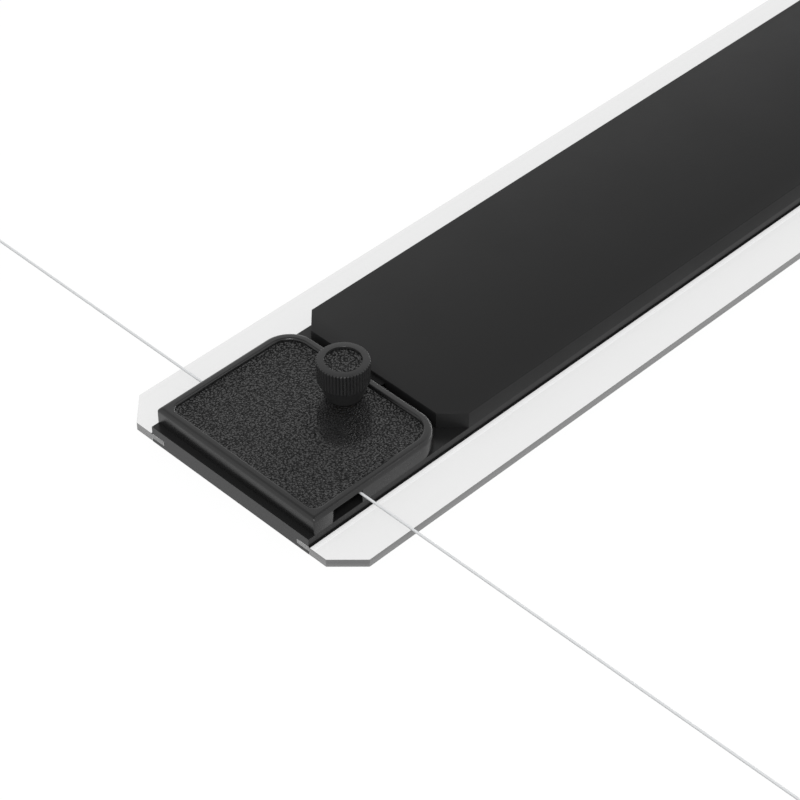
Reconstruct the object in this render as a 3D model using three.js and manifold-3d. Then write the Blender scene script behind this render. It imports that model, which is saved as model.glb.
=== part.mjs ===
// Parallel straightedge: a drafting blade that rides on two crossed wires across a drawing board.
// Millimetres, +Z up. X runs along the blade, +Y to the back of the board, and the blade rests on Z = 0.
// The origin is under the middle of the blade. The photographed end is at -X; the far end is the same, turned round.

import * as THREE from 'three';
import { mergeVertices } from 'three/addons/utils/BufferGeometryUtils.js';
import Module from 'manifold-3d';

const wasm = await Module();
wasm.setup();

// Blade
const bladeLength = 762;
const bladeWidth = 101.6;
const glideLift = 0.5;
const coreWidth = 69;
const coreThickness = 6;
const edgeThickness = 3;
const edgeCornerCut = 9;
const tongueDepth = 5.1;
const tongueThickness = 1.8;
const tongueFit = 0.1;

// End caps
const capInset = 2.46;
const capLength = 55.99;
const capHeight = 6.2;
const capWall = 1.6;
const capRoof = 0.4;
const capRim = 1.5;
const capFarCorner = 10.5;
const recessDepth = 0.85;
const recessNearInset = 3.15;
const recessSideInset = 3.2;
const recessFarInset = 3.2;
const recessNearCorner = 3;
const recessFarCorner = 7.3;
const wireDoorStart = 11.4;
const wireDoorLength = 10.9;
const wireDoorHeight = 4.85;
const doorChamferLength = 1.5;
const doorChamferDepth = 0.9;
const capPegRadius = 2;
const capPegLength = 2;
const capPegInset = 6;
const capPegFit = 0.2;

// Centre cover
const coverGap = 2.15;
const coverHeight = 6.2;
const coverWall = 2;
const coverRoof = 1.25;
const coverCornerCut = 7.1;
const coverLipReach = 1.5;
const coverLipThickness = 0.35;
const wireSlotHalfWidth = 5.6;
const wireSlotHeight = 4.6;

// Wires
const wireRadius = 0.43;
const wireInset = 21.75;
const wireRise = 3.85;
const wrapRadius = 10;
const wireJoint = 0.3;
const wireDoorReach = 0.5;
const rearReach = 143;
const frontReach = 207;

// Pulleys, their ball bearings and axles
const pulleySpacing = 28;
const grooveGap = 0.25;
const pulleyLip = 0.85;
const pulleyFlange = 0.3;
const pulleyThickness = 3.4;
const bearingStep = 0.5;
const bearingWidth = 2.4;
const bearingRadius = 5.5;
const bearingRing = 1;
const seatGap = 0.1;
const axleRadius = 2.5;
const axleHead = 0.4;
const axleShoulder = 0.9;
const axleSpigot = 1.5;
const ballGap = 0.07;
const cageRing = 0.4;
const cageHeight = 0.7;

// Pulley plates
const plateThickness = 1.2;
const plateLength = 20;
const plateMargin = 11;
const plateCorner = 2;
const plateFit = 0.2;

// Brakes
const brakeInset = 47.45;
const brakeOffset = -0.85;
const studRadius = 2;
const studThreadEnd = 2.4;
const studFit = 0.3;
const studGrip = 6;
const studSeat = 0.15;
const bushSleeve = 3.4;
const bushFlange = 6.5;
const bushFlangeThickness = 0.55;
const bushProud = 0.1;
const shoeLength = 10;
const shoeWidth = 15;
const shoeHeight = 5.2;
const shoeOpening = 0.7;
const shoeFit = 0.25;
const brakePocketDepth = 4;
const knobRadius = 8.3;
const knobHeight = 13.95;
const knobBottomRadius = 5.9;
const knobTaper = 6.1;
const knobBottomChamfer = 0.4;
const knobTopChamfer = 0.35;
const knobDishRadius = 5.9;
const knobDishDepth = 0.7;
const knobClearance = 0.4;
const knurlDepth = 0.35;
const knurlCount = 48;

// Wire bridge at mid-length
const bridgeLength = 12;
const bridgeWidth = 9;
const bridgeWeb = 0.6;
const bridgeGap = 0.2;
const bridgeTunnelWidth = 2.6;
const bridgeTunnelHeight = 1.5;

// Glide pads and cap screws
const padRadius = 6;
const padSeat = 0.7;
const padInset = 95;
const padOffset = 21;
const padFit = 0.1;
const screwInset = 52;
const screwOffset = 24;
const screwRadius = 1.2;
const screwHead = 2.7;
const screwHeadHeight = 1.5;
const screwSunk = 0.3;
const screwReach = 3.6;
const screwFit = 0.2;
const bossRadius = 2.8;

// Wire ends on the board
const bracketLength = 18;
const bracketBase = 24;
const bracketSheet = 1.5;
const bracketBend = 2;
const bracketTopMargin = 3.5;
const bracketSlotHalf = 1.4;
const bracketSlotBelow = 1.5;
const bracketHole = 2.1;
const bracketHoleSpacing = 10;
const terminalSleeve = 1.5;
const terminalSleeveLength = 8;
const terminalNeck = 1;
const terminalNeckSlack = 0.3;
const terminalHead = 2.6;
const terminalHeadLength = 3.2;
const terminalChamfer = 0.4;

// How far a cutting shape runs past what it cuts
const overrun = 1;

// Facets
const pulleySides = 28;
const ringSides = 20;
const smallSides = 14;
const wireSides = 8;
const wrapSteps = 8;
const cornerSteps = 5;
const rimSteps = 3;
const ballCount = 7;
const ballSides = 6;
const ballRows = 4;
const freeWireSteps = 4;

// Heights
const underside = glideLift;
const edgeTop = underside + edgeThickness;
const coreTop = underside + coreThickness;
const wireHeight = coreTop + wireRise;
const capTop = coreTop + capHeight;
const capPanel = capTop - recessDepth;
const capCeiling = capPanel - capRoof;
const coverTop = coreTop + coverHeight;
const coverCeiling = coverTop - coverRoof;
const pulleyTop = wireHeight + wireRadius + grooveGap + pulleyFlange;
const pulleyBottom = pulleyTop - pulleyThickness;
const bearingBottom = pulleyBottom + bearingStep;
const bearingTop = bearingBottom + bearingWidth;
const plateBottom = coreTop - plateThickness;
const knobBottom = capPanel + knobClearance;
const shoeTop = wireHeight - wireRadius - shoeOpening;
const brakeFloor = coreTop - brakePocketDepth;
const bridgeTop = wireHeight - wireRadius - bridgeGap;
const loweredWire = bridgeTop - bridgeWeb - bridgeGap - wireRadius;

// Places across and along the blade, the latter measured from either end
const coreHalf = coreWidth / 2;
const bladeHalf = bladeWidth / 2;
const pulleyInset = wireInset + wrapRadius;
const pulleyOffset = pulleySpacing / 2;
const wireOffset = pulleyOffset - wrapRadius;
const capFar = capInset + capLength;
const coverInset = capFar + coverGap;
const exitReach = coreHalf - wireDoorReach;
const innerReach = exitReach - wireJoint;

// Finishes
const colour = (hex, roughness, metalness = 0) => new THREE.MeshStandardMaterial({ color: hex, roughness, metalness });
const blackBoard = colour(0x1c1c1d, 0.5);
const blackCover = colour(0x2b2b2c, 0.55);
const blackCap = colour(0x161617, 0.35);
const clearAcrylic = colour(0xe6ecec, 0.1);
const steel = colour(0xa9abad, 0.35, 1);
const brightSteel = colour(0xc6c8ca, 0.2, 1);
const brass = colour(0xb08a45, 0.35, 1);
const whiteNylon = colour(0xd9dadb, 0.45);
const brakeRubber = colour(0x2e2c2a, 0.8);
const paleNylon = colour(0xe8e5dc, 0.5);
const coatedWire = colour(0xc9cbcc, 0.35, 0.4);

const part = new THREE.Group();
part.name = 'parallel_straightedge';
const ends = { near: new THREE.Group(), far: new THREE.Group() };
ends.near.position.x = -bladeLength / 2;
ends.far.position.x = bladeLength / 2;
ends.far.rotation.z = Math.PI;
part.add(ends.near, ends.far);

// Geometry helpers

function facesOut(geometry) {
  const shared = geometry.clone();
  shared.deleteAttribute('normal');
  shared.deleteAttribute('uv');
  const merged = mergeVertices(shared, 1e-3);
  const place = merged.getAttribute('position');
  const index = Array.from(merged.getIndex().array);
  const [a, b, c] = [new THREE.Vector3(), new THREE.Vector3(), new THREE.Vector3()];
  const kept = [];
  let volume = 0;
  for (let i = 0; i < index.length; i += 3) {
    const [p, q, r] = index.slice(i, i + 3);
    if (p === q || q === r || r === p) continue;
    kept.push(p, q, r);
    a.fromBufferAttribute(place, p);
    b.fromBufferAttribute(place, q);
    c.fromBufferAttribute(place, r);
    volume += a.dot(b.cross(c));
  }
  if (volume < 0) {
    for (let i = 0; i < kept.length; i += 3) [kept[i], kept[i + 1]] = [kept[i + 1], kept[i]];
  }
  merged.setIndex(kept);
  return merged;
}

function solid(geometry) {
  const closed = facesOut(geometry);
  return new wasm.Manifold(new wasm.Mesh({
    numProp: 3,
    vertProperties: new Float32Array(closed.getAttribute('position').array),
    triVerts: new Uint32Array(closed.getIndex().array),
  }));
}

function geometryOf(body) {
  const mesh = body.getMesh();
  const geometry = new THREE.BufferGeometry();
  geometry.setAttribute('position', new THREE.BufferAttribute(new Float32Array(mesh.vertProperties), 3));
  geometry.setIndex(new THREE.BufferAttribute(new Uint32Array(mesh.triVerts), 1));
  geometry.computeVertexNormals();
  return geometry;
}

// base with the joined pieces added and the cut ones taken away
function shaped(base, { add = [], cut = [] }) {
  let body = solid(base);
  for (const piece of add) body = body.add(solid(piece));
  for (const piece of cut) body = body.subtract(solid(piece));
  return geometryOf(body);
}

function addPiece(group, name, geometry, material) {
  const mesh = new THREE.Mesh(geometry.index ? geometry : facesOut(geometry), material);
  mesh.name = name;
  group.add(mesh);
  return mesh;
}

function block(x0, x1, y0, y1, z0, z1) {
  return new THREE.BoxGeometry(x1 - x0, y1 - y0, z1 - z0)
    .translate((x0 + x1) / 2, (y0 + y1) / 2, (z0 + z1) / 2);
}

function pillar(radius, x, y, z0, z1, sides = smallSides) {
  return new THREE.CylinderGeometry(radius, radius, z1 - z0, sides)
    .rotateX(Math.PI / 2)
    .translate(x, y, (z0 + z1) / 2);
}

// A turned piece on a vertical axis: the profile gives [radius, height] pairs
function turned(profile, sides) {
  const points = profile.map(([radius, height]) => new THREE.Vector2(radius, height));
  return facesOut(new THREE.LatheGeometry(points, sides).rotateX(Math.PI / 2));
}

function ring(inner, outer, z0, z1, sides) {
  return turned([[inner, z0], [outer, z0], [outer, z1], [inner, z1], [inner, z0]], sides);
}

// A plan outline raised from z0 to z1
function raised(shape, z0, z1) {
  return new THREE.ExtrudeGeometry(shape, { depth: z1 - z0, bevelEnabled: false, curveSegments: cornerSteps })
    .translate(0, 0, z0);
}

// A section in the YZ plane run along X from x0 to x1
function run(points, x0, x1) {
  const shape = new THREE.Shape(points.map(([y, z]) => new THREE.Vector2(y, z)));
  const along = new THREE.Matrix4().makeBasis(
    new THREE.Vector3(0, 1, 0), new THREE.Vector3(0, 0, 1), new THREE.Vector3(1, 0, 0));
  return new THREE.ExtrudeGeometry(shape, { depth: x1 - x0, bevelEnabled: false })
    .applyMatrix4(along)
    .translate(x0, 0, 0);
}

// A rectangle from x0 to x1 and to either side of the axis, with its own radius at each end's corners
function roundedOutline(x0, x1, half, nearCorner, farCorner) {
  const shape = new THREE.Shape();
  shape.moveTo(x0 + nearCorner, -half);
  shape.lineTo(x1 - farCorner, -half);
  if (farCorner > 0) shape.absarc(x1 - farCorner, -half + farCorner, farCorner, -Math.PI / 2, 0);
  shape.lineTo(x1, half - farCorner);
  if (farCorner > 0) shape.absarc(x1 - farCorner, half - farCorner, farCorner, 0, Math.PI / 2);
  shape.lineTo(x0 + nearCorner, half);
  if (nearCorner > 0) shape.absarc(x0 + nearCorner, half - nearCorner, nearCorner, Math.PI / 2, Math.PI);
  shape.lineTo(x0, -half + nearCorner);
  if (nearCorner > 0) shape.absarc(x0 + nearCorner, -half + nearCorner, nearCorner, Math.PI, 1.5 * Math.PI);
  return shape;
}

// A rectangle round the origin with its four corners cut off at 45 degrees
function cutOutline(halfLength, halfWidth, cut) {
  const quarter = [[1, -1], [1, 1], [-1, 1], [-1, -1]];
  const points = quarter.flatMap(([sx, sy], corner) => {
    const onSide = new THREE.Vector2(sx * halfLength, sy * (halfWidth - cut));
    const onEdge = new THREE.Vector2(sx * (halfLength - cut), sy * halfWidth);
    return corner % 2 === 0 ? [onEdge, onSide] : [onSide, onEdge];
  });
  return new THREE.Shape(points);
}

// Wire route: straight between listed points, one section at each, so a bend is as fine as its points
class WireRoute extends THREE.Curve {
  constructor(points) {
    super();
    this.points = points;
  }

  getPoint(t, target = new THREE.Vector3()) {
    const place = Math.min(Math.max(t, 0), 1) * (this.points.length - 1);
    const from = Math.min(Math.floor(place), this.points.length - 2);
    return target.lerpVectors(this.points[from], this.points[from + 1], place - from);
  }

  getUtoTmapping(u) {
    return u;
  }
}

function wire(points) {
  const section = new THREE.Shape();
  for (let i = 0; i < wireSides; i += 1) {
    const angle = (2 * Math.PI * i) / wireSides;
    const [x, y] = [wireRadius * Math.cos(angle), wireRadius * Math.sin(angle)];
    if (i === 0) section.moveTo(x, y);
    else section.lineTo(x, y);
  }
  section.closePath();
  return new THREE.ExtrudeGeometry(section, {
    steps: points.length - 1,
    extrudePath: new WireRoute(points),
    bevelEnabled: false,
  });
}

// Blade: black core board, clear edges, centre cover

function coreBoard() {
  const lipTop = edgeTop - tongueThickness - tongueFit;
  const grooveTop = edgeTop + tongueFit;
  const grooveEdge = coreHalf - tongueDepth - tongueFit;
  const board = run([
    [-coreHalf, underside], [coreHalf, underside], [coreHalf, lipTop], [grooveEdge, lipTop],
    [grooveEdge, grooveTop], [coreHalf, grooveTop], [coreHalf, coreTop], [-coreHalf, coreTop],
    [-coreHalf, grooveTop], [-grooveEdge, grooveTop], [-grooveEdge, lipTop], [-coreHalf, lipTop],
  ], -bladeLength / 2, bladeLength / 2);
  const above = coreTop + overrun;
  const below = underside - overrun;
  const cuts = [];
  for (const end of Object.values(ends)) {
    end.updateMatrix();
    const local = [
      raised(roundedOutline(pulleyInset - plateLength / 2 - plateFit, pulleyInset + plateLength / 2 + plateFit,
        pulleyOffset + plateMargin + plateFit, plateCorner, plateCorner), plateBottom, above),
      block(brakeInset - shoeLength / 2 - shoeFit, brakeInset + shoeLength / 2 + shoeFit,
        brakeOffset - shoeWidth / 2 - shoeFit, brakeOffset + shoeWidth / 2 + shoeFit, brakeFloor, above),
    ];
    for (const side of [-1, 1]) {
      local.push(
        pillar(screwRadius + screwFit, screwInset, side * screwOffset, below, above),
        pillar(screwHead + screwFit, screwInset, side * screwOffset, below, underside + screwSunk + screwHeadHeight),
        pillar(padRadius + padFit, padInset, side * padOffset, below, underside + padSeat, ringSides),
        pillar(capPegRadius + capPegFit, capInset + capPegInset, side * (coreHalf - tongueDepth - capPegInset),
          coreTop - capPegLength - capPegFit, above),
      );
    }
    cuts.push(...local.map((piece) => piece.applyMatrix4(end.matrix)));
  }
  addPiece(part, 'core_board', shaped(board, { cut: cuts }), blackBoard);
}

function clearEdge(name, side) {
  const shoulder = coreHalf + tongueFit;
  const tongueBottom = edgeTop - tongueThickness;
  const strip = run([
    [shoulder, underside], [bladeHalf, underside], [bladeHalf, edgeTop],
    [coreHalf - tongueDepth, edgeTop], [coreHalf - tongueDepth, tongueBottom], [shoulder, tongueBottom],
  ], -bladeLength / 2, bladeLength / 2);
  const outline = raised(cutOutline(bladeLength / 2, bladeHalf, edgeCornerCut),
    underside - overrun, edgeTop + overrun);
  const geometry = geometryOf(solid(strip).intersect(solid(outline)));
  const mesh = addPiece(part, name, geometry, clearAcrylic);
  if (side < 0) mesh.rotation.z = Math.PI;
}

function centreCover() {
  const half = bladeLength / 2 - coverInset;
  const slot = half + overrun;
  const slotTop = coreTop + wireSlotHeight;
  const lip = (from, to) => block(from, to, -wireSlotHalfWidth, wireSlotHalfWidth, slotTop, slotTop + coverLipThickness);
  addPiece(part, 'centre_cover', shaped(raised(cutOutline(half, coreHalf, coverCornerCut), coreTop, coverTop), {
    add: [
      lip(half - coverWall / 2, half + coverLipReach),
      lip(-half - coverLipReach, -half + coverWall / 2),
    ],
    cut: [
      raised(cutOutline(half - coverWall, coreHalf - coverWall, coverCornerCut), coreTop - overrun, coverCeiling),
      block(-slot, slot, -wireSlotHalfWidth, wireSlotHalfWidth, coreTop - overrun, slotTop),
    ],
  }), blackCover);
}

// The two wires cross at mid-length: one runs over this bridge, the other through its tunnel
function wireBridge() {
  const half = bridgeLength / 2;
  const tunnelMiddle = loweredWire;
  addPiece(part, 'wire_bridge', shaped(
    block(-half, half, -bridgeWidth / 2, bridgeWidth / 2, coreTop, bridgeTop), {
      cut: [block(-half - overrun, half + overrun, -bridgeTunnelWidth / 2, bridgeTunnelWidth / 2,
        tunnelMiddle - bridgeTunnelHeight / 2, bridgeTop - bridgeWeb)],
    }), paleNylon);
}

function glidePad(end, name, side) {
  const pad = pillar(padRadius, padInset, side * padOffset, 0, underside + padSeat, ringSides);
  addPiece(ends[end], name, pad, whiteNylon);
}

// End cap: a shallow box with a rolled rim, a sunken panel, wire doors in both long walls and a slot to the cover

function endCap(end) {
  const outline = roundedOutline(capInset, capFar, coreHalf, 0, capFarCorner);
  const shell = new THREE.ExtrudeGeometry(outline, {
    depth: capTop - coreTop - capRim + overrun,
    bevelEnabled: true,
    bevelThickness: capRim,
    bevelSize: capRim,
    bevelOffset: -capRim,
    bevelSegments: rimSteps,
    curveSegments: cornerSteps,
  }).translate(0, 0, coreTop - overrun);
  const floor = coreTop - overrun - capRim;
  const hollow = roundedOutline(capInset + capWall, capFar - capWall, coreHalf - capWall, 0, capFarCorner - capWall);
  const panel = roundedOutline(capInset + recessNearInset, capFar - recessFarInset,
    coreHalf - recessSideInset, recessNearCorner, recessFarCorner);
  const pegX = capInset + capPegInset;
  const pegY = coreHalf - tongueDepth - capPegInset;
  const doorEnd = wireDoorStart + wireDoorLength;
  const doorTop = coreTop + wireDoorHeight;
  const posts = [-1, 1].flatMap((side) => [
    pillar(bossRadius, screwInset, side * screwOffset, coreTop, capCeiling + capRoof / 2),
    pillar(capPegRadius, pegX, side * pegY, coreTop - capPegLength, capCeiling + capRoof / 2),
  ]);
  const chamfer = (side) => {
    const wall = side * coreHalf;
    const shape = new THREE.Shape([
      new THREE.Vector2(wireDoorStart - doorChamferLength, wall),
      new THREE.Vector2(wireDoorStart, wall - side * doorChamferDepth),
      new THREE.Vector2(wireDoorStart + doorChamferDepth, wall - side * doorChamferDepth),
      new THREE.Vector2(wireDoorStart + doorChamferDepth, wall + side * overrun),
      new THREE.Vector2(wireDoorStart - doorChamferLength, wall + side * overrun),
    ]);
    return raised(shape, floor, doorTop);
  };
  const body = solid(shell)
    .subtract(solid(block(0, capFar + overrun, -coreWidth, coreWidth, floor - overrun, coreTop)))
    .subtract(solid(raised(hollow, floor, capCeiling)))
    .subtract(solid(raised(panel, capPanel, capTop + overrun)));
  let cap = body;
  for (const post of posts) cap = cap.add(solid(post));
  const cuts = [
    block(wireDoorStart, doorEnd, -coreHalf - overrun, -coreHalf + capWall + overrun, floor, doorTop),
    block(wireDoorStart, doorEnd, coreHalf - capWall - overrun, coreHalf + overrun, floor, doorTop),
    chamfer(-1),
    chamfer(1),
    block(capFar - capWall - overrun, capFar + overrun, -wireSlotHalfWidth, wireSlotHalfWidth,
      floor, coreTop + wireSlotHeight),
    pillar(bushSleeve + seatGap, brakeInset, brakeOffset, capCeiling - overrun, capTop + overrun, ringSides),
    ...[-1, 1].map((side) => pillar(screwRadius + seatGap, screwInset, side * screwOffset,
      floor, coreTop + screwReach + screwFit)),
  ];
  for (const cut of cuts) cap = cap.subtract(solid(cut));
  addPiece(ends[end], `${end}_end_cap`, geometryOf(cap), blackCap);
}

function capScrew(end, name, side) {
  const head = underside + screwSunk;
  const screw = turned([
    [0, head], [screwHead, head], [screwRadius, head + screwHeadHeight],
    [screwRadius, coreTop + screwReach], [0, coreTop + screwReach],
  ], smallSides).translate(screwInset, side * screwOffset, 0);
  addPiece(ends[end], name, screw, steel);
}

// Pulleys: grooved wheel on a ball bearing, shouldered axle riveted into a plate let into the core

function pulleyPlate(end) {
  const outline = roundedOutline(pulleyInset - plateLength / 2, pulleyInset + plateLength / 2,
    pulleyOffset + plateMargin, plateCorner, plateCorner);
  const holes = [-1, 1].map((side) => pillar(axleSpigot + seatGap, pulleyInset, side * pulleyOffset,
    plateBottom - overrun, coreTop + overrun));
  addPiece(ends[end], `${end}_pulley_plate`, shaped(raised(outline, plateBottom, coreTop), { cut: holes }), steel);
}

function pulleySet(end, name, side) {
  const place = (geometry) => geometry.translate(pulleyInset, side * pulleyOffset, 0);
  const root = wrapRadius - wireRadius - grooveGap;
  const rim = wrapRadius + pulleyLip;
  const grooveHalf = wireRadius + grooveGap;
  const bore = bearingRadius + seatGap;
  const step = bearingRadius - bearingRing / 2;
  addPiece(ends[end], `${name}_pulley`, place(turned([
    [step, pulleyBottom], [rim, pulleyBottom], [rim, wireHeight - grooveHalf], [root, wireHeight - grooveHalf],
    [root, wireHeight + grooveHalf], [rim, wireHeight + grooveHalf], [rim, pulleyTop],
    [bore, pulleyTop], [bore, bearingBottom], [step, bearingBottom], [step, pulleyBottom],
  ], pulleySides)), whiteNylon);

  const innerRace = axleRadius + seatGap;
  const innerOut = innerRace + bearingRing;
  const outerIn = bearingRadius - bearingRing;
  addPiece(ends[end], `${name}_bearing_outer_ring`,
    place(ring(outerIn, bearingRadius, bearingBottom, bearingTop, ringSides)), brightSteel);
  addPiece(ends[end], `${name}_bearing_inner_ring`,
    place(ring(innerRace, innerOut, bearingBottom, bearingTop, ringSides)), brightSteel);

  const ballCircle = (innerOut + outerIn) / 2;
  const ball = (outerIn - innerOut) / 2 - ballGap;
  const middle = (bearingBottom + bearingTop) / 2;
  const cage = ring(ballCircle - cageRing / 2, ballCircle + cageRing / 2,
    middle - cageHeight / 2, middle + cageHeight / 2, ringSides);
  const balls = Array.from({ length: ballCount }, (_, i) => {
    const angle = (2 * Math.PI * i) / ballCount;
    return new THREE.SphereGeometry(ball, ballSides, ballRows)
      .rotateX(Math.PI / 2)
      .translate(ballCircle * Math.cos(angle), ballCircle * Math.sin(angle), middle);
  });
  addPiece(ends[end], `${name}_ball_ring`, place(shaped(cage, { add: balls })), brightSteel);

  const shoulder = axleRadius + axleShoulder;
  addPiece(ends[end], `${name}_axle`, place(turned([
    [0, plateBottom], [axleSpigot, plateBottom], [axleSpigot, coreTop], [shoulder, coreTop],
    [shoulder, bearingBottom], [axleRadius, bearingBottom], [axleRadius, bearingTop],
    [shoulder, bearingTop], [shoulder, bearingTop + axleHead], [0, bearingTop + axleHead],
  ], ringSides)), steel);
}

// Brake: the knob turns a stud, and the stud draws a shoe up so that it pinches both wires under the bush flange

function brake(end) {
  const place = (geometry) => geometry.translate(brakeInset, brakeOffset, 0);
  const bore = studRadius + seatGap;
  const knobTop = knobBottom + knobHeight;
  const knurlBottom = knobBottom + knobTaper;
  const grip = knobBottom + studGrip;
  const profile = [
    [0, knobBottom], [knobBottomRadius - knobBottomChamfer, knobBottom],
    [knobBottomRadius, knobBottom + knobBottomChamfer], [knobRadius - knurlDepth, knurlBottom],
    [knobRadius, knurlBottom + knurlDepth], [knobRadius, knobTop - knobTopChamfer],
    [knobRadius - knobTopChamfer - knurlDepth, knobTop], [knobDishRadius, knobTop],
    [knobDishRadius, knobTop - knobDishDepth], [0, knobTop - knobDishDepth],
  ];
  const knob = new THREE.LatheGeometry(
    profile.map(([radius, height]) => new THREE.Vector2(radius, height)), 2 * knurlCount);
  const points = knob.getAttribute('position');
  const valley = (knobRadius - knurlDepth) / knobRadius;
  for (let i = 0; i < points.count; i += 1) {
    const line = Math.floor(i / profile.length);
    const radius = profile[i % profile.length][0];
    if (line % 2 === 1 && radius === knobRadius) {
      points.setX(i, points.getX(i) * valley);
      points.setZ(i, points.getZ(i) * valley);
    }
  }
  addPiece(ends[end], `${end}_brake_knob`, place(shaped(knob.rotateX(Math.PI / 2), {
    cut: [pillar(bore, 0, 0, knobBottom - overrun, grip)],
  })), blackCap);

  addPiece(ends[end], `${end}_brake_stud`,
    place(pillar(studRadius, 0, 0, brakeFloor + studThreadEnd - studRadius, grip - studSeat)), steel);

  const flangeBottom = capCeiling - bushFlangeThickness;
  const bushBore = studRadius + studFit;
  addPiece(ends[end], `${end}_brake_bush`, place(turned([
    [bushBore, flangeBottom], [bushFlange, flangeBottom], [bushFlange, capCeiling], [bushSleeve, capCeiling],
    [bushSleeve, capPanel + bushProud], [bushBore, capPanel + bushProud], [bushBore, flangeBottom],
  ], ringSides)), brass);

  addPiece(ends[end], `${end}_brake_shoe`, place(shaped(
    block(-shoeLength / 2, shoeLength / 2, -shoeWidth / 2, shoeWidth / 2, shoeTop - shoeHeight, shoeTop), {
      cut: [pillar(studRadius + studFit, 0, 0, shoeTop - shoeHeight - overrun, shoeTop + overrun)],
    })), brakeRubber);
}

// Wires

const at = (x, y, z) => new THREE.Vector3(x, y, z);

// From a door, round the pulley there, to the run along the blade. endSign is -1 at the photographed end.
function wrap(endSign, side) {
  const x = endSign * (bladeLength / 2 - wireInset);
  const axis = endSign * (bladeLength / 2 - pulleyInset);
  const points = [at(x, side * innerReach, wireHeight)];
  for (let i = 0; i <= wrapSteps; i += 1) {
    const turn = (Math.PI / 2) * (i / wrapSteps);
    points.push(at(axis + endSign * wrapRadius * Math.cos(turn),
      side * (pulleyOffset - wrapRadius * Math.sin(turn)), wireHeight));
  }
  return points;
}

function innerWires() {
  const over = [...wrap(-1, 1), ...wrap(1, -1).reverse()];
  const half = bridgeLength / 2 + overrun;
  const under = [...wrap(-1, -1), at(-half, 0, loweredWire), at(half, 0, loweredWire), ...wrap(1, 1).reverse()];
  addPiece(part, 'inner_wire_over', wire(over), coatedWire);
  addPiece(part, 'inner_wire_under', wire(under), coatedWire);
}

// A free stretch from the door to the board, with its terminal and the bracket that the terminal hooks behind
function boardWire(end, name, side) {
  const group = ends[end];
  const across = end === 'near' ? side : -side;
  const reach = side > 0 ? rearReach : frontReach;
  const wireEnd = reach - wireJoint;
  const points = Array.from({ length: freeWireSteps + 1 }, (_, i) => at(wireInset,
    across * (exitReach + (wireEnd - exitReach) * (i / freeWireSteps)), wireHeight));
  addPiece(group, `${name}_wire`, wire(points), coatedWire);

  const neck = reach + terminalSleeveLength;
  const upright = neck + terminalNeckSlack;
  const head = upright + bracketSheet;
  const tail = head + terminalHeadLength;
  const lie = (geometry) => geometry
    .rotateX(across > 0 ? -Math.PI / 2 : Math.PI / 2)
    .translate(wireInset, 0, wireHeight);
  addPiece(group, `${name}_terminal`, lie(turned([
    [0, reach], [terminalSleeve - terminalChamfer, reach], [terminalSleeve, reach + terminalChamfer],
    [terminalSleeve, neck], [terminalNeck, neck], [terminalNeck, head], [terminalHead, head],
    [terminalHead, tail - terminalChamfer], [terminalHead - terminalChamfer, tail], [0, tail],
  ], smallSides)), brass);

  const top = wireHeight + bracketTopMargin;
  const back = upright + bracketBase;
  const inner = bracketBend - bracketSheet;
  const bend = (radius, from, to) => Array.from({ length: cornerSteps + 1 }, (_, i) => {
    const angle = from + (to - from) * (i / cornerSteps);
    return [upright + bracketBend + radius * Math.cos(angle), bracketBend + radius * Math.sin(angle)];
  });
  const section = [
    [back, 0], [back, bracketSheet],
    ...bend(inner, -Math.PI / 2, -Math.PI),
    [upright + bracketSheet, top], [upright, top],
    ...bend(bracketBend, -Math.PI, -Math.PI / 2),
  ].map(([y, z]) => [across * y, z]);
  const half = bracketLength / 2;
  const holeY = (upright + bracketSheet + back) / 2;
  addPiece(group, `${name}_bracket`, shaped(run(section, wireInset - half, wireInset + half), {
    cut: [
      block(wireInset - bracketSlotHalf, wireInset + bracketSlotHalf,
        across * (upright + bracketSheet / 2) - bracketSheet, across * (upright + bracketSheet / 2) + bracketSheet,
        wireHeight - bracketSlotBelow, top + overrun),
      ...[-1, 1].map((hole) => pillar(bracketHole, wireInset + hole * (bracketHoleSpacing / 2), across * holeY,
        -overrun, bracketSheet + overrun)),
    ],
  }), steel);
}

coreBoard();
clearEdge('rear_clear_edge', 1);
clearEdge('front_clear_edge', -1);
centreCover();
wireBridge();
innerWires();
for (const end of ['near', 'far']) {
  endCap(end);
  pulleyPlate(end);
  brake(end);
  for (const [label, side] of [['rear', 1], ['front', -1]]) {
    const across = end === 'near' ? side : -side;
    const name = `${end}_${label}`;
    pulleySet(end, name, across);
    capScrew(end, `${name}_cap_screw`, across);
    glidePad(end, `${name}_glide_pad`, across);
    boardWire(end, name, side);
  }
}

export default part;
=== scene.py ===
# Parallel straightedge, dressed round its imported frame.
# The near end, at -X, is modelled; the far end is a copy of it, turned half round about Z.

import math
from contextlib import contextmanager

import bmesh
import bpy
from bpy.props import FloatProperty, FloatVectorProperty, IntProperty, PointerProperty
from mathutils import Matrix, Vector


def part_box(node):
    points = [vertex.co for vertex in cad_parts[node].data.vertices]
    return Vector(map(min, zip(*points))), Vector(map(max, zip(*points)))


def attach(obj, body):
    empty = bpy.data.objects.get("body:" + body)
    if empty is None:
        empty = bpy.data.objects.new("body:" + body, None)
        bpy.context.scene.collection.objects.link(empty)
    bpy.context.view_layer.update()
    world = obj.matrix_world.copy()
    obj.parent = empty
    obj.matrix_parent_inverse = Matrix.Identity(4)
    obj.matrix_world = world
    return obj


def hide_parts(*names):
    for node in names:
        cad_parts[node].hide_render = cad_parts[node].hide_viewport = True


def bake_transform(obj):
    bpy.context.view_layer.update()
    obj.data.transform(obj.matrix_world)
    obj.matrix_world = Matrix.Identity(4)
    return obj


bl_info = {
    "name": "Parallel Straightedge",
    "version": (1, 0, 0),
    "blender": (4, 5, 0),
    "location": "3D View > Sidebar > Straightedge",
    "description": "Dresses the frame of a drafting blade that rides on crossed wires",
    "category": "Object",
}

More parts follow.
